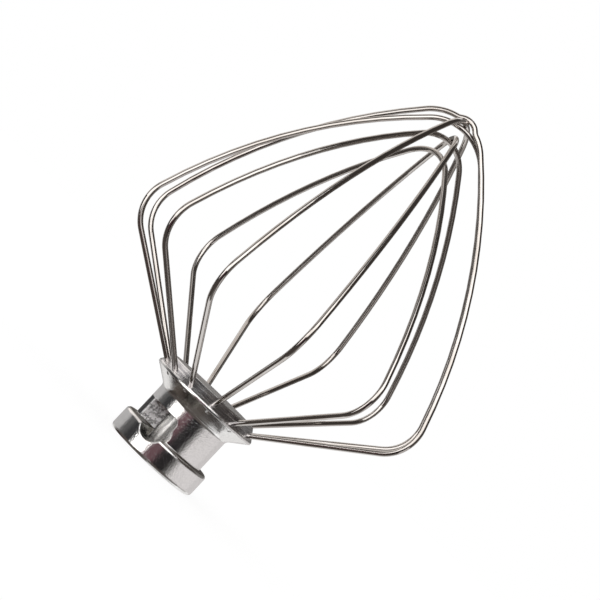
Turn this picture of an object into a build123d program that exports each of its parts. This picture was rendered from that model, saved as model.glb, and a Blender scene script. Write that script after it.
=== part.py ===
from build123d import *
import os
from math import cos, radians, sin, tan

# Wire whisk for a stand mixer: a turned hub that locks on the drive shaft, and six bent wire loops.
# Lengths are in millimetres and angles in degrees. The hub's flat end stands on z = 0 and the tip
# of the cage points up. Angles about Z are counted from +X.

# Drive shaft that the hub takes
shaft_diameter = 12.7
shaft_clearance = 0.1
mouth_chamfer = 0.7

# Hub, turned from bar
neck_radius = 15.5
collar_overhang = 3.6
collar_height = 9.3
collar_round = 1.3
neck_land = 5.4
flare_fillet = 2.0
flare_wall = 2.0
rim_overhang = 2.4
rim_land = 0.85
face_height = 4.5
face_chamfer = 0.2
cap_thickness = 5.7

# Bayonet slot for the shaft's cross pin: a way in, a window to turn in and a notch to lock in
window_start = -175.0
window_span = 80.0
window_height = 8.7
window_round = 2.5
window_lip = 1.7
notch_angle = -111.0
notch_radius = 5.4
notch_rise = 1.6
keyway_angle = -145.0
keyway_width = 6.4
keyway_depth = 5.0

# Wire and the holes that it is staked into
wire_diameter = 1.9
wire_fit = 0.03
spoke_circle_radius = 20.0
spoke_angle = 54.1
seat_depth = 9.0
seat_gap = 0.1
stake_radius = 0.9
stake_depth = 0.4
stake_inset = 1.0

# Cage: every loop has the same shoulders and sides, and its own plane and height. The loops cross on
# the hub's axis. Each tip is bent a little to one side of it, and some spokes lean in their own plane
cage_radius = 65.7
shoulder_radius = 14.9
run_radius = 201.0
tip_radius = 19.2
loop_angles = (9.9, 40.0, 68.3, 98.5, 128.0, 163.6)
tip_shifts = (1.5, 0.8, -0.1, -1.9, 1.8, 1.7)
lean_angles = (-0.7, 0.0, -2.2, 0.0, 0.0, -0.6)

# Rise of the loops above the foot of their spokes, as they nest in one another: the lowest, the lower
# pair and the top three, where each wire that crosses over another lies one layer higher
crossing_gap = 0.1
lowest_rise = 121.0
pair_rise = 127.0
top_rise = 133.7

# Saddle bent into the topmost wire where it crosses over the one below
saddle_rise = 1.4
saddle_radius = 6.0
kink_radius = 2.8

# Sizes that follow
bore_radius = shaft_diameter / 2 + shaft_clearance
collar_radius = neck_radius + collar_overhang
rim_radius = spoke_circle_radius + rim_overhang
wire_radius = wire_diameter / 2
hole_radius = wire_radius + wire_fit
outward = sin(radians(spoke_angle))
upward = cos(radians(spoke_angle))
window_top = collar_height + window_height
slot_reach = collar_radius + notch_radius
flare_foot = window_top + neck_land


def flare_height(radius):
    """Height of the flare's underside, which runs parallel to the spokes."""
    return flare_foot + (radius - neck_radius) / tan(radians(spoke_angle))


spoke_height = flare_height(spoke_circle_radius) + (hole_radius + flare_wall) / outward
rim_top = flare_height(rim_radius) + rim_land
hub_top = rim_top + face_height
face_radius = rim_radius - face_height / tan(radians(spoke_angle))
bore_depth = hub_top - cap_thickness

layer = wire_diameter + crossing_gap
loop_rises = (
    top_rise,
    pair_rise,
    top_rise + layer,
    pair_rise + layer,
    lowest_rise,
    top_rise + 2 * layer - saddle_rise,
)
saddled_loop = len(loop_angles) - 1
spokes = [
    (angle + turn, side * lean)
    for angle, lean in zip(loop_angles, lean_angles)
    for turn, side in ((0, 1), (180, -1))
]


def meeting_point(centre_a, reach_a, centre_b, reach_b, side):
    """Point at the two given distances from two centres, on the given side of the line from a to b."""
    between = centre_b - centre_a
    along = (reach_a**2 - reach_b**2 + between.length**2) / (2 * between.length)
    across = (reach_a**2 - along**2) ** 0.5
    ahead = between.normalized()
    return centre_a + ahead * along + Vector(-ahead.Y, ahead.X) * (side * across)


def near_point(centre, radius, other):
    """Point of a circle that is nearest to another point."""
    return centre + (other - centre).normalized() * radius


def far_point(centre, radius, other):
    """Point of a circle that is farthest from another point."""
    return centre + (centre - other).normalized() * radius


def draw_arc(side, centre, start, end):
    """Arc of a loop from start to end, mirrored to the given side of the hub's axis."""
    radius = (start - centre).length
    middle = centre + ((start + end) * 0.5 - centre).normalized() * radius
    ThreePointArc(*((side * point.X, point.Y) for point in (start, middle, end)))


def spoke_way(lean):
    """Direction of a spoke in its own plane, as radius and height, leaning down by an angle."""
    return Vector(sin(radians(spoke_angle + lean)), cos(radians(spoke_angle + lean)))


def draw_loop(rise, shift, lean, saddled):
    """Centre line of one loop: spoke, shoulder, side and tip, and the same back to the hub."""
    foot = Vector(spoke_circle_radius, spoke_height)
    top = Vector(0, spoke_height + rise)
    tip_drop = (tip_radius**2 - shift**2) ** 0.5
    saddle_centre = top + Vector(0, saddle_rise - saddle_radius)

    for side in (1, -1):
        way = spoke_way(side * lean)
        seat = foot - way * seat_depth
        bend_radius = cage_radius - shoulder_radius * (1 - way.Y)
        bend = foot + way * ((bend_radius - spoke_circle_radius) / way.X)
        shoulder_centre = bend + Vector(-way.Y, way.X) * shoulder_radius
        tip_centre = top + Vector(side * shift, -tip_drop)
        run_centre = meeting_point(
            shoulder_centre, run_radius - shoulder_radius, tip_centre, run_radius - tip_radius, 1
        )
        run_start = far_point(shoulder_centre, shoulder_radius, run_centre)
        run_end = far_point(tip_centre, tip_radius, run_centre)
        Line((side * seat.X, seat.Y), (side * bend.X, bend.Y))
        draw_arc(side, shoulder_centre, bend, run_start)
        draw_arc(side, run_centre, run_start, run_end)
        if saddled:
            kink_centre = meeting_point(
                tip_centre, tip_radius + kink_radius, saddle_centre, saddle_radius + kink_radius, -1
            )
            kink_start = near_point(tip_centre, tip_radius, kink_centre)
            kink_end = near_point(saddle_centre, saddle_radius, kink_centre)
            draw_arc(side, tip_centre, run_end, kink_start)
            draw_arc(side, kink_centre, kink_start, kink_end)
            draw_arc(side, saddle_centre, kink_end, top + Vector(0, saddle_rise))
        else:
            draw_arc(side, tip_centre, run_end, top)


def radial_point(angle, radius, height):
    """Point at a radius and height, turned about Z."""
    return Vector(radius, 0, height).rotate(Axis.Z, angle)


def spoke_plane(angle, lean):
    """Plane at the bottom of a spoke's hole, facing out along the spoke."""
    way = spoke_way(lean)
    bottom = Vector(spoke_circle_radius, spoke_height) - way * (seat_depth + seat_gap)
    return Plane(origin=radial_point(angle, bottom.X, bottom.Y), z_dir=radial_point(angle, way.X, way.Y))


def stake_point(angle):
    """Centre of the ball that a punch mark under a spoke is cut with."""
    stand_off = stake_radius - stake_depth
    radius = rim_radius - stake_inset
    return radial_point(angle, radius + upward * stand_off, flare_height(radius) - outward * stand_off)


os.makedirs("parts", exist_ok=True)

# Tool for the bayonet slot, from the bore out through the neck
with BuildPart() as bayonet_slot:
    with BuildSketch(Plane.XZ.rotated((0, 0, window_start))):
        with Locations((0, collar_height)):
            Rectangle(slot_reach, window_height, align=(Align.MIN, Align.MIN))
    revolve(axis=Axis.Z, revolution_arc=window_span)
    window_end = Vector(1, 0, 0).rotate(Axis.Z, window_start + window_span)
    end_edges = bayonet_slot.edges().filter_by(Axis((0, 0, 0), window_end))
    fillet(end_edges.sort_by(Axis.Z)[-1], window_round)
    notch_place = radial_point(notch_angle, 0, collar_height + notch_rise)
    with Locations(Plane(origin=notch_place, z_dir=radial_point(notch_angle, 1, 0))):
        Cylinder(notch_radius, slot_reach, align=(Align.CENTER, Align.CENTER, Align.MIN))
    with BuildSketch(Plane.XY.rotated((0, 0, keyway_angle))):
        Rectangle(bore_radius + keyway_depth, keyway_width, align=(Align.MIN, Align.CENTER))
    extrude(amount=collar_height + window_height / 2)
    with BuildSketch(Plane.XY.offset(collar_height).rotated((0, 0, window_start))):
        with BuildLine():
            Polyline(
                (neck_radius - 2 * window_lip, window_lip),
                (neck_radius + window_lip, window_lip),
                (neck_radius + window_lip, -2 * window_lip),
                close=True,
            )
        make_face()
    extrude(amount=window_height)

with BuildPart() as hub:
    with BuildSketch(Plane.XZ) as hub_section:
        with BuildLine():
            Polyline(
                (bore_radius + mouth_chamfer, 0),
                (collar_radius, 0),
                (collar_radius, collar_height),
                (neck_radius, collar_height),
                (neck_radius, flare_foot),
                (rim_radius, flare_height(rim_radius)),
                (rim_radius, rim_top),
                (face_radius, hub_top),
                (0, hub_top),
                (0, bore_depth),
                (bore_radius, bore_depth),
                (bore_radius, mouth_chamfer),
                close=True,
            )
        make_face()
        corners = hub_section.vertices()
        collar_corners = [
            corners.sort_by_distance((collar_radius, height))[0] for height in (0, collar_height)
        ]
        fillet(collar_corners, collar_round)
        fillet(hub_section.vertices().sort_by_distance((neck_radius, flare_foot))[0], flare_fillet)
        chamfer(hub_section.vertices().sort_by_distance((face_radius, hub_top))[0], face_chamfer)
    revolve(axis=Axis.Z)
    add(bayonet_slot.part, mode=Mode.SUBTRACT)
    with Locations(*[spoke_plane(angle, lean) for angle, lean in spokes]):
        Cylinder(
            hole_radius,
            seat_depth + seat_gap + face_height,
            align=(Align.CENTER, Align.CENTER, Align.MIN),
            mode=Mode.SUBTRACT,
        )
    with Locations(*[stake_point(angle) for angle, _ in spokes]):
        Sphere(stake_radius, mode=Mode.SUBTRACT)
hub.part.label = "hub"
export_step(hub.part, "parts/hub.step")

for index, angle in enumerate(loop_angles):
    in_plane = radial_point(angle, 1, 0)
    loop_plane = Plane(origin=(0, 0, 0), x_dir=in_plane, z_dir=in_plane.cross(Vector(0, 0, 1)))
    with BuildPart() as wire_loop:
        with BuildLine(loop_plane) as path:
            draw_loop(loop_rises[index], tip_shifts[index], lean_angles[index], index == saddled_loop)
        centre_line = path.wire()
        with BuildSketch(Plane(origin=centre_line @ 0, z_dir=centre_line % 0)):
            Circle(wire_radius)
        sweep(path=centre_line)
    wire_loop.part.label = f"wire_loop_{index + 1}"
    export_step(wire_loop.part, f"parts/{wire_loop.part.label}.step")
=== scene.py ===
# %% [markdown]
# # A wire whisk for a stand mixer
#
# The part is a turned metal hub with six loops of stiff wire in it. The frame holds the measured solids,
# in metres, with the hub standing on its collar and the tip of the cage pointing up. This lesson dresses
# them: it draws the wires again as smooth tubes, gives both metals their finish, and then builds the small
# studio that polished metal needs, because most of what one sees on chrome is what stands around it.

# %% Load the frame
from math import atan2, cos, degrees, pi, radians, sin, tan

import bpy
from mathutils import Matrix, Vector


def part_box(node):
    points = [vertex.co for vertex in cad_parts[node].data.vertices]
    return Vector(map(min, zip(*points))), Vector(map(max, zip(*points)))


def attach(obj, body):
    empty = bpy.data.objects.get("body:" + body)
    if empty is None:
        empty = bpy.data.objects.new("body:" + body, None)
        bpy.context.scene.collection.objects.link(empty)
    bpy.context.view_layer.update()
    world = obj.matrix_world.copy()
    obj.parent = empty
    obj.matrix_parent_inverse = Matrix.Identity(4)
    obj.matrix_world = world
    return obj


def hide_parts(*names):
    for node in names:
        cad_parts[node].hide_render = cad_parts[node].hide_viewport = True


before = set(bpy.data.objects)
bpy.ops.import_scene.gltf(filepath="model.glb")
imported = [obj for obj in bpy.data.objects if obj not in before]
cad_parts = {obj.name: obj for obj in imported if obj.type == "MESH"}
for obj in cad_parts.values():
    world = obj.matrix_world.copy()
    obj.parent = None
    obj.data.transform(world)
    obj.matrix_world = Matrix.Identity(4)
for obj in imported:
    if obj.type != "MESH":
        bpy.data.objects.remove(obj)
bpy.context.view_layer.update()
scene = bpy.context.scene
MM = 0.001
BODY = "root"
HUB = "hub"
WIRE_NODES = sorted(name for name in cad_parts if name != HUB)

# %% [markdown]
# ## Nodes written as sums
#
# A shader is a graph of small nodes, and graphs are hard to read in a script. The class below wraps one
# socket, so that `1 - mask * 0.5` adds the Math nodes by itself. Every other node comes from one method,
# `Maker.node`, which sets the node's own settings first and then its sockets.


# %% A socket that can be added and multiplied
class Value:
    """One output socket of a node tree, with the arithmetic of numbers."""

    def __init__(self, maker, socket):
        self.maker = maker
        self.socket = socket

    def _math(self, operation, *numbers):
        return self.maker.node("ShaderNodeMath", dict(operation=operation), dict(enumerate(numbers)))

    def __add__(self, other):
        return self._math("ADD", self, other)

    def __radd__(self, other):
        return self._math("ADD", other, self)

    def __sub__(self, other):
        return self._math("SUBTRACT", self, other)

    def __rsub__(self, other):
        return self._math("SUBTRACT", other, self)

    def __mul__(self, other):
        return self._math("MULTIPLY", self, other)

    def __rmul__(self, other):
        return self._math("MULTIPLY", other, self)

    def __abs__(self):
        return self._math("ABSOLUTE", self)

    def power(self, exponent):
        return self._math("POWER", self, exponent)

    def highest(self, other):
        return self._math("MAXIMUM", self, other)


class Maker:
    """Adds nodes to one tree, and gives their first output as a Value unless another is named."""

    def __init__(self, tree):
        self.tree = tree

    def node(self, kind, settings=None, sockets=None, output=0):
        made = self.tree.nodes.new(kind)
        for name, value in (settings or {}).items():
            setattr(made, name, value)
        for place, value in (sockets or {}).items():
            self.fill(made.inputs[place], value)
        return Value(self, made.outputs[output]) if made.outputs else made

    def fill(self, socket, value):
        """Links a Value to a socket, or sets the socket to a plain value."""
        if isinstance(value, Value):
            self.tree.links.new(value.socket, socket)
        else:
            socket.default_value = value

    def ramp(self, value, low, high):
        """0 below low, 1 above high and a smooth step between."""
        sockets = {"Value": value, "From Min": low, "From Max": high}
        return self.node("ShaderNodeMapRange", dict(interpolation_type="SMOOTHSTEP"), sockets)

    def mix(self, share, first, second):
        """A colour between two colours. A Mix node has those at inputs 6 and 7, and at output 2."""
        sockets = {"Factor": share, 6: first, 7: second}
        return self.node("ShaderNodeMix", dict(data_type="RGBA"), sockets, output=2)

    def noise(self, place, scale, detail=2.0, rough=0.5):
        sockets = {"Vector": place, "Scale": scale, "Detail": detail, "Roughness": rough}
        return self.node("ShaderNodeTexNoise", None, sockets)

    def stretched(self, place, scale):
        """A place with its three axes multiplied, to draw a noise out into streaks."""
        return self.node("ShaderNodeMapping", None, {"Vector": place, "Scale": scale})


print("nodes can be written as sums")

# %% [markdown]
# ## How a material starts
#
# Blender gives a new material a tree with nodes in it already. Working from an empty one is safer, because
# then the script says everything that the material has. The world has such a tree as well.


# %% Start a material
def empty_tree(holder):
    """A maker for the emptied tree of a material or a world."""
    holder.use_nodes = True
    holder.node_tree.nodes.clear()
    return Maker(holder.node_tree)


def new_metal(name):
    """A material with a Principled shader, its maker and the shader's sockets."""
    material = bpy.data.materials.new(name)
    maker = empty_tree(material)
    surface = maker.node("ShaderNodeBsdfPrincipled", None, {"Metallic": 1.0})
    maker.node("ShaderNodeOutputMaterial", None, {"Surface": surface})
    return material, maker, surface.socket.node.inputs


print("materials can be started from an empty tree")

# %% [markdown]
# ## The camera
#
# The whisk was photographed nearly square to its axis, with the hub at the lower left and the tip at the
# upper right. One could lay the whisk down to match. Here it stays upright and the camera is rolled
# instead, so that the part keeps its own frame. The place, the roll and the lens were worked out from the
# wires: six bent loops of known form leave very little freedom.

# %% Place the camera
PHOTO_WIDTH = 600
SENSOR_WIDTH = 36.0
focal_length_px = 1981.7
camera_distance = 714.1 * MM
camera_tilt = radians(-1.445)
camera_roll = radians(46.637)
aim_point = Vector((-0.248, 0, 78.829)) * MM


def add_object(name, data):
    """A new object in the scene."""
    made = bpy.data.objects.new(name, data)
    scene.collection.objects.link(made)
    return made


sight = Vector((0, cos(camera_tilt), -sin(camera_tilt)))
level_right = Vector((1, 0, 0))
level_up = Vector((0, sin(camera_tilt), cos(camera_tilt)))
image_right = level_right * sin(camera_roll) + level_up * cos(camera_roll)
image_up = level_up * sin(camera_roll) - level_right * cos(camera_roll)

camera = add_object("camera", bpy.data.cameras.new("camera"))
camera.data.sensor_width = SENSOR_WIDTH
camera.data.lens = focal_length_px / PHOTO_WIDTH * SENSOR_WIDTH
turn = Matrix((image_right, image_up, -sight)).transposed().to_4x4()
camera.matrix_world = Matrix.Translation(aim_point - sight * camera_distance) @ turn
bpy.context.scene.camera = camera
print(f"camera: {camera.data.lens:.1f} mm lens, {camera_distance / MM:.0f} mm away, rolled",
      f"{degrees(camera_roll):.1f} degrees")

# %% [markdown]
# ## What the frame says about the wires
#
# Each loop lies in a plane through the axis. The plane's angle and the height of its top differ from loop
# to loop, and both can be read from the frame: the point furthest from the axis gives the angle, and the
# box gives the height. The spokes leave the hub a set way below its flat end. How far each tip is bent to
# one side of the axis, how far its spokes lean, and the sizes that all loops share, are written down once.
# The solids' wire is 1.9 mm thick. The tubes are drawn at 2.1 mm, because that is about what the
# photographed wire measures.

# %% Measure the loops
wire_diameter = 1.9 * MM
shown_diameter = 2.1 * MM
spoke_circle_radius = 20.0 * MM
spoke_angle = radians(54.1)
seat_depth = 9.0 * MM
cage_radius = 65.7 * MM
shoulder_radius = 14.9 * MM
run_radius = 201.0 * MM
tip_radius = 19.2 * MM
saddle_rise = 1.4 * MM
saddle_radius = 6.0 * MM
kink_radius = 2.8 * MM
face_rise = 3.41 * MM
tip_shifts = dict(zip(WIRE_NODES, (1.5 * MM, 0.8 * MM, -0.1 * MM, -1.9 * MM, 1.8 * MM, 1.7 * MM)))
spoke_leans = dict(zip(WIRE_NODES, (radians(lean) for lean in (-0.7, 0.0, -2.2, 0.0, 0.0, -0.6))))

spoke_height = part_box(HUB)[1].z - face_rise


def loop_angle(node):
    """Angle of a loop's plane about Z, from the point of its solid that lies furthest out."""
    furthest = max((v.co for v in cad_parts[node].data.vertices), key=lambda co: co.xy.length)
    return atan2(furthest.y, furthest.x) % pi


def loop_top(node):
    """Height of the centre line at the top of a loop."""
    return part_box(node)[1].z - wire_diameter / 2


saddled_node = max(WIRE_NODES, key=loop_top)
for node in WIRE_NODES:
    print(node, f"turned {degrees(loop_angle(node)):.0f} degrees, top at {loop_top(node) / MM:.1f} mm",
          "with a saddle" if node == saddled_node else "")

# %% [markdown]
# ## The line of a loop
#
# A wire bender makes straight lengths and arcs, so the line is worked out as those: the spoke, a tight
# shoulder, a long side that bows out slightly, and the tip. The topmost wire has a small hump where it is
# bent over the one below. A Bezier curve through a few points would be shorter to write, but it can't hold
# a bend's radius. Where two arcs meet they share a tangent, which puts the meeting point on the line
# through both centres.

# %% Work out a loop's points
ARC_STEP = radians(2.5)
SPOKE_STEPS = 8


def meeting_point(centre_a, reach_a, centre_b, reach_b, side):
    """Point at two given distances from two centres, on the given side of the line from a to b."""
    between = centre_b - centre_a
    along = (reach_a**2 - reach_b**2 + between.length_squared) / (2 * between.length)
    across = (reach_a**2 - along**2) ** 0.5
    ahead = between.normalized()
    return centre_a + ahead * along + Vector((-ahead.y, ahead.x)) * (side * across)


def near_point(centre, radius, other):
    """Point of a circle that is nearest to another point."""
    return centre + (other - centre).normalized() * radius


def far_point(centre, radius, other):
    """Point of a circle that is farthest from another point."""
    return centre + (centre - other).normalized() * radius


def arc_points(centre, start, end):
    """Points from start up to, but not including, end, along the shorter arc about a centre."""
    first, last = start - centre, end - centre
    sweep = first.angle_signed(last)
    steps = max(2, round(abs(sweep) / ARC_STEP))
    return [centre + Matrix.Rotation(-sweep * step / steps, 2) @ first for step in range(steps)]


def half_loop(top_height, shift, lean, saddled):
    """Points of half a loop in its own plane, as radius and height, from the seat to the axis."""
    spoke = Vector((sin(spoke_angle + lean), cos(spoke_angle + lean)))
    foot = Vector((spoke_circle_radius, spoke_height))
    seat = foot - spoke * seat_depth
    bend_radius = cage_radius - shoulder_radius * (1 - spoke.y)
    bend = foot + spoke * ((bend_radius - spoke_circle_radius) / spoke.x)
    shoulder_centre = bend + Vector((-spoke.y, spoke.x)) * shoulder_radius
    tip_drop = (tip_radius**2 - shift**2) ** 0.5
    crossing_height = top_height - saddle_rise if saddled else top_height - tip_radius + tip_drop
    tip_centre = Vector((shift, crossing_height - tip_drop))
    run_centre = meeting_point(
        shoulder_centre, run_radius - shoulder_radius, tip_centre, run_radius - tip_radius, 1)
    run_start = far_point(shoulder_centre, shoulder_radius, run_centre)
    run_end = far_point(tip_centre, tip_radius, run_centre)

    points = [seat.lerp(bend, step / SPOKE_STEPS) for step in range(SPOKE_STEPS)]
    points += arc_points(shoulder_centre, bend, run_start)
    points += arc_points(run_centre, run_start, run_end)
    if not saddled:
        crossing = Vector((0, crossing_height))
        return points + arc_points(tip_centre, run_end, crossing) + [crossing]
    top = Vector((0, top_height))
    saddle_centre = top - Vector((0, saddle_radius))
    kink_centre = meeting_point(
        tip_centre, tip_radius + kink_radius, saddle_centre, saddle_radius + kink_radius, -1)
    kink_start = near_point(tip_centre, tip_radius, kink_centre)
    kink_end = near_point(saddle_centre, saddle_radius, kink_centre)
    points += arc_points(tip_centre, run_end, kink_start)
    points += arc_points(kink_centre, kink_start, kink_end)
    return points + arc_points(saddle_centre, kink_end, top) + [top]


def loop_line(node):
    """Points of a whole loop in the part's frame, from one seat over the top to the other."""
    top, shift, lean = loop_top(node), tip_shifts[node], spoke_leans[node]
    flat = half_loop(top, shift, lean, node == saddled_node)
    other_half = half_loop(top, -shift, -lean, node == saddled_node)
    flat += [Vector((-point.x, point.y)) for point in reversed(other_half[:-1])]
    angle = loop_angle(node)
    return [Vector((point.x * cos(angle), point.x * sin(angle), point.y)) for point in flat]


for node in WIRE_NODES:
    line = loop_line(node)
    length = sum((b - a).length for a, b in zip(line, line[1:]))
    print(node, f"{len(line)} points, {length / MM:.0f} mm of wire")

# %% [markdown]
# ## The wires as tubes
#
# A curve's own bevel gives a tube, but only a bare one. Geometry Nodes lay the line out evenly, carry a
# circle along it and close the ends, and they can also store how far along the wire each point lies and how
# far round. The finish needs both, to draw fine lines along the wire, as the drawing die leaves them. All
# six loops share one tree, and its named inputs hold the sizes.


# %% The tree that turns a line into wire
def wire_tree():
    tree = bpy.data.node_groups.new("drawn_wire", "GeometryNodeTree")
    for name, kind in (("Line", "NodeSocketGeometry"), ("Radius", "NodeSocketFloat"),
                       ("Spacing", "NodeSocketFloat"), ("Sides", "NodeSocketInt"),
                       ("Finish", "NodeSocketMaterial")):
        tree.interface.new_socket(name, in_out="INPUT", socket_type=kind)
    tree.interface.new_socket("Wire", in_out="OUTPUT", socket_type="NodeSocketGeometry")
    maker = Maker(tree)
    entry = maker.node("NodeGroupInput").socket.node
    given = {socket.name: Value(maker, socket) for socket in entry.outputs[:-1]}

    on_points = dict(data_type="FLOAT", domain="POINT")
    even = maker.node("GeometryNodeResampleCurve", dict(mode="LENGTH"),
                      {"Curve": given["Line"], "Length": given["Spacing"]})
    along = maker.node("GeometryNodeSplineParameter", output="Length")
    even = maker.node("GeometryNodeStoreNamedAttribute", on_points,
                      {"Geometry": even, "Name": "along", "Value": along})
    ring = maker.node("GeometryNodeCurvePrimitiveCircle", dict(mode="RADIUS"),
                      {"Resolution": given["Sides"], "Radius": given["Radius"]})
    around = maker.node("GeometryNodeSplineParameter", output="Factor")
    ring = maker.node("GeometryNodeStoreNamedAttribute", on_points,
                      {"Geometry": ring, "Name": "around", "Value": around})
    tube = maker.node("GeometryNodeCurveToMesh", None,
                      {"Curve": even, "Profile Curve": ring, "Fill Caps": True})
    plain = maker.node("GeometryNodeRealizeInstances", None, {"Geometry": tube})
    smooth = maker.node("GeometryNodeSetShadeSmooth", None, {"Geometry": plain})
    finished = maker.node("GeometryNodeSetMaterial", None,
                          {"Geometry": smooth, "Material": given["Finish"]})
    maker.node("NodeGroupOutput", None, {"Wire": finished})
    return tree


def set_inputs(modifier, **values):
    """Sets a Geometry Nodes modifier's inputs, found by name and set by identifier."""
    for item in modifier.node_group.interface.items_tree:
        if item.in_out == "INPUT" and item.name in values:
            modifier[item.identifier] = values[item.name]


drawn_wire = wire_tree()
print("wire tree:", len(drawn_wire.nodes), "nodes")

# %% [markdown]
# ## The wire's finish
#
# The wire is drawn stainless steel, polished in a tumbler. It is a mirror with a slightly brown cast,
# broken by hair-fine lines along its length and by faint cloudy stretches where the polish is duller. The
# lines follow the wire round its bends, so they are laid out on the tree's two attributes. The clouds have
# no direction and lie on Object coordinates.

# %% Wire steel
BRIGHT_STEEL = (0.60, 0.57, 0.545, 1)
DULL_STEEL = (0.50, 0.465, 0.435, 1)
STEEL_POLISH, STEEL_DULLING = 0.06, 0.06
# The clouds are counted per metre, and the lines per metre along the wire and per turn round it
STEEL_CLOUDS = 45.0
DULL_RANGE = (0.42, 0.68)
LINES_ALONG, LINES_AROUND = 30, 12
LINE_DEPTH = 0.02 * MM
LINE_STRENGTH = 0.04


def wire_steel():
    material, maker, shader = new_metal("wire_steel")
    along = maker.node("ShaderNodeAttribute", dict(attribute_name="along"), output="Fac")
    around = maker.node("ShaderNodeAttribute", dict(attribute_name="around"), output="Fac")
    place = maker.node("ShaderNodeTexCoord", output="Object")
    dull = maker.ramp(maker.noise(place, STEEL_CLOUDS, detail=3.0), *DULL_RANGE)
    unrolled = maker.node("ShaderNodeCombineXYZ", None, {0: along * LINES_ALONG, 1: around * LINES_AROUND})
    lines = maker.noise(unrolled, 1.0)
    bump = maker.node("ShaderNodeBump", None,
                      {"Strength": LINE_STRENGTH, "Distance": LINE_DEPTH, "Height": lines})
    maker.fill(shader["Base Color"], maker.mix(dull, BRIGHT_STEEL, DULL_STEEL))
    maker.fill(shader["Roughness"], STEEL_POLISH + dull * STEEL_DULLING)
    maker.fill(shader["Normal"], bump)
    return material


steel = wire_steel()
print("finish:", steel.name, "with", len(steel.node_tree.nodes), "nodes")

# %% [markdown]
# ## Six loops from one tree
#
# The points of each loop go into a curve, the tree turns the curve into a tube, and the tube is kept as a
# plain mesh. Each tube takes the place of one solid of the frame, which is hidden. The modifier could
# stay on the curve, but the export takes meshes, and each one has to say which solid of the frame it
# stands for.

# %% Draw the six loops
RING_SPACING = 0.8 * MM
RING_SIDES = 28


def draw_wire(node):
    """One loop as a smooth tube that stands for its solid."""
    points = loop_line(node)
    curve = bpy.data.curves.new(node + "_line", "CURVE")
    curve.dimensions = "3D"
    spline = curve.splines.new("POLY")
    spline.points.add(len(points) - 1)
    for slot, point in zip(spline.points, points):
        slot.co = (*point, 1)
    carrier = add_object(node + "_line", curve)
    modifier = carrier.modifiers.new("drawn_wire", "NODES")
    modifier.node_group = drawn_wire
    set_inputs(modifier, Radius=shown_diameter / 2, Spacing=RING_SPACING, Sides=RING_SIDES, Finish=steel)

    evaluated = carrier.evaluated_get(bpy.context.evaluated_depsgraph_get())
    mesh = bpy.data.meshes.new_from_object(evaluated)
    bpy.data.objects.remove(carrier)
    piece = add_object(node.replace("wire_loop", "bent_wire"), mesh)
    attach(piece, BODY)
    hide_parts(node)
    return piece


for node in WIRE_NODES:
    wire = draw_wire(node)
    print(wire.name, len(wire.data.polygons), "faces")

# %% [markdown]
# ## The hub's finish
#
# The hub is turned from bar and polished, so its walls mirror the studio in bands that run along the axis,
# broken by fine flecks. Bands could be painted on, but they would be right from one side only. So the metal
# is left to mirror, and what is painted is what belongs to the surface, except for one painted shade. The
# solid has no named faces, and its surfaces are told apart by height and radius. The walls inside the
# slot's window are rough and cracked like a casting, the milled notch is darker, the slot's level faces
# inside the window carry a near-black painted shade, the conical face round the wires keeps streaks from
# the lathe, and the flat end is dull.

# %% Hub metal
# Heights and radii that tell the surfaces apart
bore_edge = 6.6 * MM
collar_top, window_top = 9.3 * MM, 18.0 * MM
notch_foot = 3.8 * MM
cone_foot, cone_top = 29.4 * MM, 33.6 * MM
window_reach, notch_reach = 14.0 * MM, 18.6 * MM
ledge_reach, lintel_reach = 18.3 * MM, 15.3 * MM
edge_round = 0.65 * MM
BLUR = 0.1 * MM

# Colours of the metal on each surface, and a near-black painted shade for the slot's level faces
FLECK, POLISHED = (0.86, 0.855, 0.85, 1), (0.94, 0.935, 0.93, 1)
CRACK, CASTING = (0.20, 0.20, 0.20, 1), (0.92, 0.92, 0.93, 1)
GROOVE, RIDGE = (0.58, 0.58, 0.61, 1), (0.95, 0.95, 0.97, 1)
MILLED, PAINTED_SHADE, DULL_END = (0.46, 0.45, 0.41, 1), (0.14, 0.12, 0.105, 1), (0.52, 0.515, 0.51, 1)

# Roughness of the polish, and what the marks of each tool add to it
HUB_POLISH, LATHE_MARKS, CUTTER_MARKS, RAW = 0.10, 0.06, 0.12, 0.30

# Noises, counted per metre, the stretch of each that shows, and its share of the relief
HUB_CLOUDS, HUB_FLECKS, HUB_PITS = 120.0, 1700.0, 330.0
HUB_STREAKS = (90.0, 90.0, 1500.0)
FLECK_RANGE, STREAK_RANGE = (0.36, 0.6), (0.4, 0.62)
NOISE_MIDDLE, CRACK_WIDTH = 0.5, 0.045
RELIEF = 1.0 * MM
FLECK_SHARE, STREAK_SHARE, PIT_SHARE = 0.06, 0.03, 0.35


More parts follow.
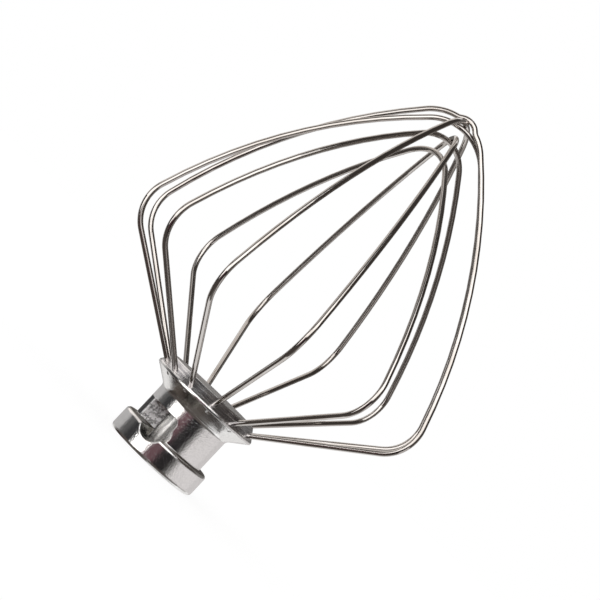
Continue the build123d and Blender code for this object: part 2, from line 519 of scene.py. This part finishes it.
def hub_metal():
    material, maker, shader = new_metal("hub_metal")
    place = maker.node("ShaderNodeTexCoord", output="Object")
    apart = maker.node("ShaderNodeSeparateXYZ", None, {"Vector": place}).socket.node
    x, y, height = (Value(maker, socket) for socket in apart.outputs)
    radius = (x * x + y * y).power(0.5)

    def between(value, low, high):
        return maker.ramp(value, low - BLUR, low + BLUR) * (1 - maker.ramp(value, high - BLUR, high + BLUR))

    def slot_face(low, high, reach):
        return between(height, low, high) * between(radius, bore_edge, reach)

    window = slot_face(collar_top + BLUR, window_top - BLUR, window_reach)
    notch = slot_face(notch_foot, collar_top - BLUR, notch_reach)
    ledge = slot_face(collar_top - 2 * BLUR, collar_top + BLUR, ledge_reach)
    lintel = slot_face(window_top - BLUR, window_top + 2 * BLUR, lintel_reach)
    # Painted shade: the floor and ceiling of the slot's window are painted nearly black for the shade in
    # there
    painted_shade_faces = ledge + lintel
    conical = between(height, cone_foot, cone_top)
    flat_end = maker.ramp(height, cone_top + BLUR / 5, cone_top + BLUR)
    bored = 1 - maker.ramp(radius, bore_edge - BLUR / 2, bore_edge + BLUR / 2)

    clouds = maker.noise(place, HUB_CLOUDS, detail=3.0)
    flecks = maker.noise(place, HUB_FLECKS, rough=0.6)
    streaks = maker.noise(maker.stretched(place, HUB_STREAKS), 1.0)
    pits = maker.noise(place, HUB_PITS, detail=5.0, rough=0.65)
    cracks = maker.ramp(abs(pits - NOISE_MIDDLE), 0.0, CRACK_WIDTH)

    wall = maker.mix(maker.ramp(flecks, *FLECK_RANGE), FLECK, POLISHED)
    turned = maker.mix(maker.ramp(streaks, *STREAK_RANGE), GROOVE, RIDGE)
    cast = maker.mix(cracks, CRACK, CASTING)
    colour = wall
    # The slot's level faces get the painted shade, not a colour of the metal
    for surface, paint in ((conical, turned), (window, cast), (notch, MILLED),
                           (painted_shade_faces, PAINTED_SHADE), (flat_end, DULL_END)):
        colour = maker.mix(surface, colour, paint)
    roughness = (HUB_POLISH + (clouds + conical + bored) * LATHE_MARKS + notch * CUTTER_MARKS
                 + (window + painted_shade_faces + flat_end) * RAW)
    relief = flecks * FLECK_SHARE + streaks * conical * STREAK_SHARE + pits * window * PIT_SHARE
    edges = maker.node("ShaderNodeBevel", dict(samples=6), {"Radius": edge_round})
    bump = maker.node("ShaderNodeBump", None,
                      {"Strength": 1.0, "Distance": RELIEF, "Height": relief, "Normal": edges})
    maker.fill(shader["Base Color"], colour)
    maker.fill(shader["Roughness"], roughness)
    maker.fill(shader["Normal"], bump)
    return material


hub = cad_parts[HUB]
hub.data.materials.clear()
hub.data.materials.append(hub_metal())
print("hub:", len(hub.data.polygons), "faces, finish:", hub.data.materials[0].name)

# %% [markdown]
# ## A white room
#
# Polished metal has hardly a colour of its own, so the studio is built for what it mirrors. The whisk
# stands in a white room. The room is white to the camera and in the metal, and dimmer in the light that it
# sheds on the floor. A bright lamp would whiten the ground too, but it would burn out the metal.

# %% White room
AMBIENT = (0.6, 0.6, 0.6, 1)
PURE_WHITE = (1, 1, 1, 1)


def seen_directly(maker):
    """1 for rays from the camera, from a mirror or through glass, and 0 for diffuse light."""
    camera_ray, glossy_ray, glass_ray = (
        maker.node("ShaderNodeLightPath", output=name)
        for name in ("Is Camera Ray", "Is Glossy Ray", "Is Transmission Ray"))
    return camera_ray.highest(glossy_ray).highest(glass_ray)


scene.view_settings.view_transform = "Standard"
scene.world = bpy.data.worlds.new("white_room")
room = empty_tree(scene.world)
lit = room.mix(seen_directly(room), AMBIENT, PURE_WHITE)
background = room.node("ShaderNodeBackground", None, {"Color": lit, "Strength": 1.0})
room.node("ShaderNodeOutputWorld", None, {"Surface": background})
print("world:", scene.world.name)

# %% [markdown]
# ## Cards for the metal to mirror
#
# A photographer shapes polished metal with softboxes and with grey and black cards. Lamps would do for the
# bright ones, but only a card can be dark. So each is a flat sheet that glows evenly in one colour. It is
# hidden from the camera, casts no shadow and lights no floor. The first set stands all round the whisk and
# draws the light and dark lines along the wires: softboxes in front, dark cards at the sides and below, and
# dim ones behind.

# %% Cards round the whisk
WHITE = (1, 0.985, 0.97)
DIM = (0.5, 0.475, 0.455)
DARK = (0.085, 0.073, 0.066)
STUDIO_RADIUS = 1.2
studio_centre = Vector((0, 0, 70 * MM))
cards = []


def add_sheet(name, corners, material):
    """A flat piece with four corners."""
    mesh = bpy.data.meshes.new(name)
    mesh.from_pydata(corners, [], [(0, 1, 2, 3)])
    mesh.materials.append(material)
    return add_object(name, mesh)


def hang_card(name, corners, colour, strength=1.0):
    """A card that glows evenly and is seen in the metal, but not by the camera."""
    material = bpy.data.materials.new(name)
    maker = empty_tree(material)
    glow = maker.node("ShaderNodeEmission", None, {"Color": (*colour, 1), "Strength": strength})
    maker.node("ShaderNodeOutputMaterial", None, {"Surface": glow})
    card = add_sheet(name, corners, material)
    card.visible_camera = False
    card.visible_shadow = False
    card.visible_diffuse = False
    cards.append(card)


def studio_card(name, across, up, width, height, colour, strength=1.0, distance=STUDIO_RADIUS):
    """A card that faces the whisk, placed and sized by angles in degrees, as the camera sees them.

    Across 0 is at the camera and 90 at the right of the picture; up is towards the picture's top.
    """
    turned, raised = radians(across), radians(up)
    level = image_right * sin(turned) - sight * cos(turned)
    out = level * cos(raised) + image_up * sin(raised)
    side = image_right * cos(turned) + sight * sin(turned)
    top = image_up * cos(raised) - level * sin(raised)
    centre = studio_centre + out * distance
    half_width = side * distance * tan(radians(width) / 2)
    half_height = top * distance * tan(radians(height) / 2)
    foot, head = centre - half_height, centre + half_height
    corners = [foot - half_width, foot + half_width, head + half_width, head - half_width]
    hang_card(name, corners, colour, strength)


studio_card("softbox_left", -41, 26, 36, 34, WHITE, strength=2.0, distance=1.0)
studio_card("softbox_right", 13, 23, 48, 46, WHITE, strength=2.0, distance=1.0)
studio_card("softbox_middle", -17, 11, 14, 28, WHITE, strength=2.0, distance=1.02)
studio_card("softbox_edge", 41, 10, 13, 28, WHITE, strength=1.8, distance=1.0)
studio_card("dim_gap", -17, 27, 12, 40, DIM, distance=1.15)
studio_card("dark_left", -94, -8, 72, 74, DARK)
studio_card("dim_left", -100, 45, 90, 34, DIM, strength=0.45)
studio_card("dark_right", 84, 6, 82, 110, DARK, strength=0.7)
studio_card("dark_low_front", -15, -38, 130, 48, DARK, distance=1.1)
studio_card("dark_front_left", -38, -6, 40, 26, DARK, distance=1.1)
studio_card("dark_below", 20, -74, 120, 36, DIM, strength=0.35, distance=1.1)
studio_card("dark_low_right", 55, -48, 56, 44, DARK, distance=1.05)
studio_card("dim_low_right", 105, -52, 60, 40, DIM, strength=0.6, distance=1.1)
studio_card("dim_overhead", 40, 74, 140, 34, DIM, strength=0.15, distance=1.3)
studio_card("dim_behind_top", -155, 70, 90, 36, DIM, strength=1.6)
studio_card("light_high_behind", -165, 38, 60, 32, DIM, strength=1.9, distance=1.1)
studio_card("dark_behind_left", -155, 12, 64, 52, DIM, strength=0.35, distance=1.3)
studio_card("dark_behind_right", 144, -2, 72, 56, DIM, strength=0.35, distance=1.3)
print("cards round the whisk:", len(cards))

# %% [markdown]
# ## Cards near the hub
#
# The hub's upright walls mirror a narrow ring of the studio, and every angle about the axis comes out as
# one band along the wall. A ring of upright cards close to the hub sets those bands one by one. Far cards
# could do the same, but they would show in the wires at every height. The gap in the ring lets the
# softboxes through, as the bright band.

# %% Ring of cards
HUB_CARD_DISTANCE = 260 * MM
HUB_CARD_MIDDLE = -6 * MM
TALL, LOW = 104 * MM, 68 * MM


def hub_card(name, first, last, height, colour):
    """An upright card near the hub that spans two angles about its axis, counted from the camera."""
    sides = [(sin(radians(angle)) * HUB_CARD_DISTANCE, -cos(radians(angle)) * HUB_CARD_DISTANCE)
             for angle in (first, last)]
    foot, top = HUB_CARD_MIDDLE - height / 2, HUB_CARD_MIDDLE + height / 2
    hang_card(name, [(*sides[0], foot), (*sides[1], foot), (*sides[1], top), (*sides[0], top)], colour)


hub_card("grey_limb", -180, -106, LOW, (0.46, 0.45, 0.447))
hub_card("grey_side", -106, -84, TALL, (0.098, 0.096, 0.095))
hub_card("black_side", -84, -56, TALL, (0.028, 0.028, 0.03))
hub_card("mauve_front", -23, 5, TALL, (0.115, 0.057, 0.066))
hub_card("black_front", 5, 36, TALL, (0.016, 0.014, 0.015))
hub_card("shade_front", 36, 42, TALL, (0.098, 0.094, 0.092))
hub_card("grey_front", 42, 50, LOW, (0.295, 0.287, 0.28))
hub_card("white_side", 50, 120, LOW, (0.70, 0.672, 0.668))
hub_card("white_limb", 120, 180, LOW, (0.62, 0.595, 0.59))
print("cards with the hub's ring:", len(cards))

# %% [markdown]
# ## Cards under the hub
#
# The flared underside of the flange looks down and outwards, past the ring and through the floor, which
# the metal doesn't mirror. Three level cards below it give the flare its dark, olive and light stretches.

# %% Level cards
UNDER_HEIGHT = -120 * MM


def level_card(name, left, right, near, far, colour, strength=1.0, height=UNDER_HEIGHT):
    """A level card below the floor; its four edges are in millimetres from the hub's axis."""
    corners = [(left, near), (right, near), (right, far), (left, far)]
    hang_card(name, [(x * MM, y * MM, height) for x, y in corners], colour, strength)


level_card("dark_under", -60, -20, 0, 33, (0.03, 0.023, 0.02), height=-20 * MM)
level_card("olive_under", -8, 70, 40, 115, (0.12, 0.115, 0.09))
level_card("light_under", -400, 400, 140, 700, WHITE, strength=0.8, height=-160 * MM)
print("cards in all:", len(cards))

# %% [markdown]
# ## The floor
#
# The whisk stands on a plain white floor. A matt floor alone would come out grey in this light, so it also
# glows wherever it is looked at, and its matt share keeps the whisk's soft shadow.

# %% Floor
FLOOR_SIZE = 6.0
FLOOR_GLOW = 0.86
FLOOR_COLOUR = (0.25, 0.25, 0.25, 1)


def floor_white():
    material = bpy.data.materials.new("floor_white")
    maker = empty_tree(material)
    matt = maker.node("ShaderNodeBsdfDiffuse", None, {"Color": FLOOR_COLOUR})
    glow = maker.node("ShaderNodeEmission", None, {"Color": PURE_WHITE, "Strength": FLOOR_GLOW})
    both = maker.node("ShaderNodeAddShader", None, {0: matt, 1: glow})
    chosen = maker.node("ShaderNodeMixShader", None, {0: seen_directly(maker), 1: matt, 2: both})
    maker.node("ShaderNodeOutputMaterial", None, {"Surface": chosen})
    return material


half = FLOOR_SIZE / 2
floor_corners = [(-half, -half, 0), (half, -half, 0), (half, half, 0), (-half, half, 0)]
floor = add_sheet("floor", floor_corners, floor_white())
floor.visible_glossy = False
print(f"floor: {FLOOR_SIZE:.0f} m square")
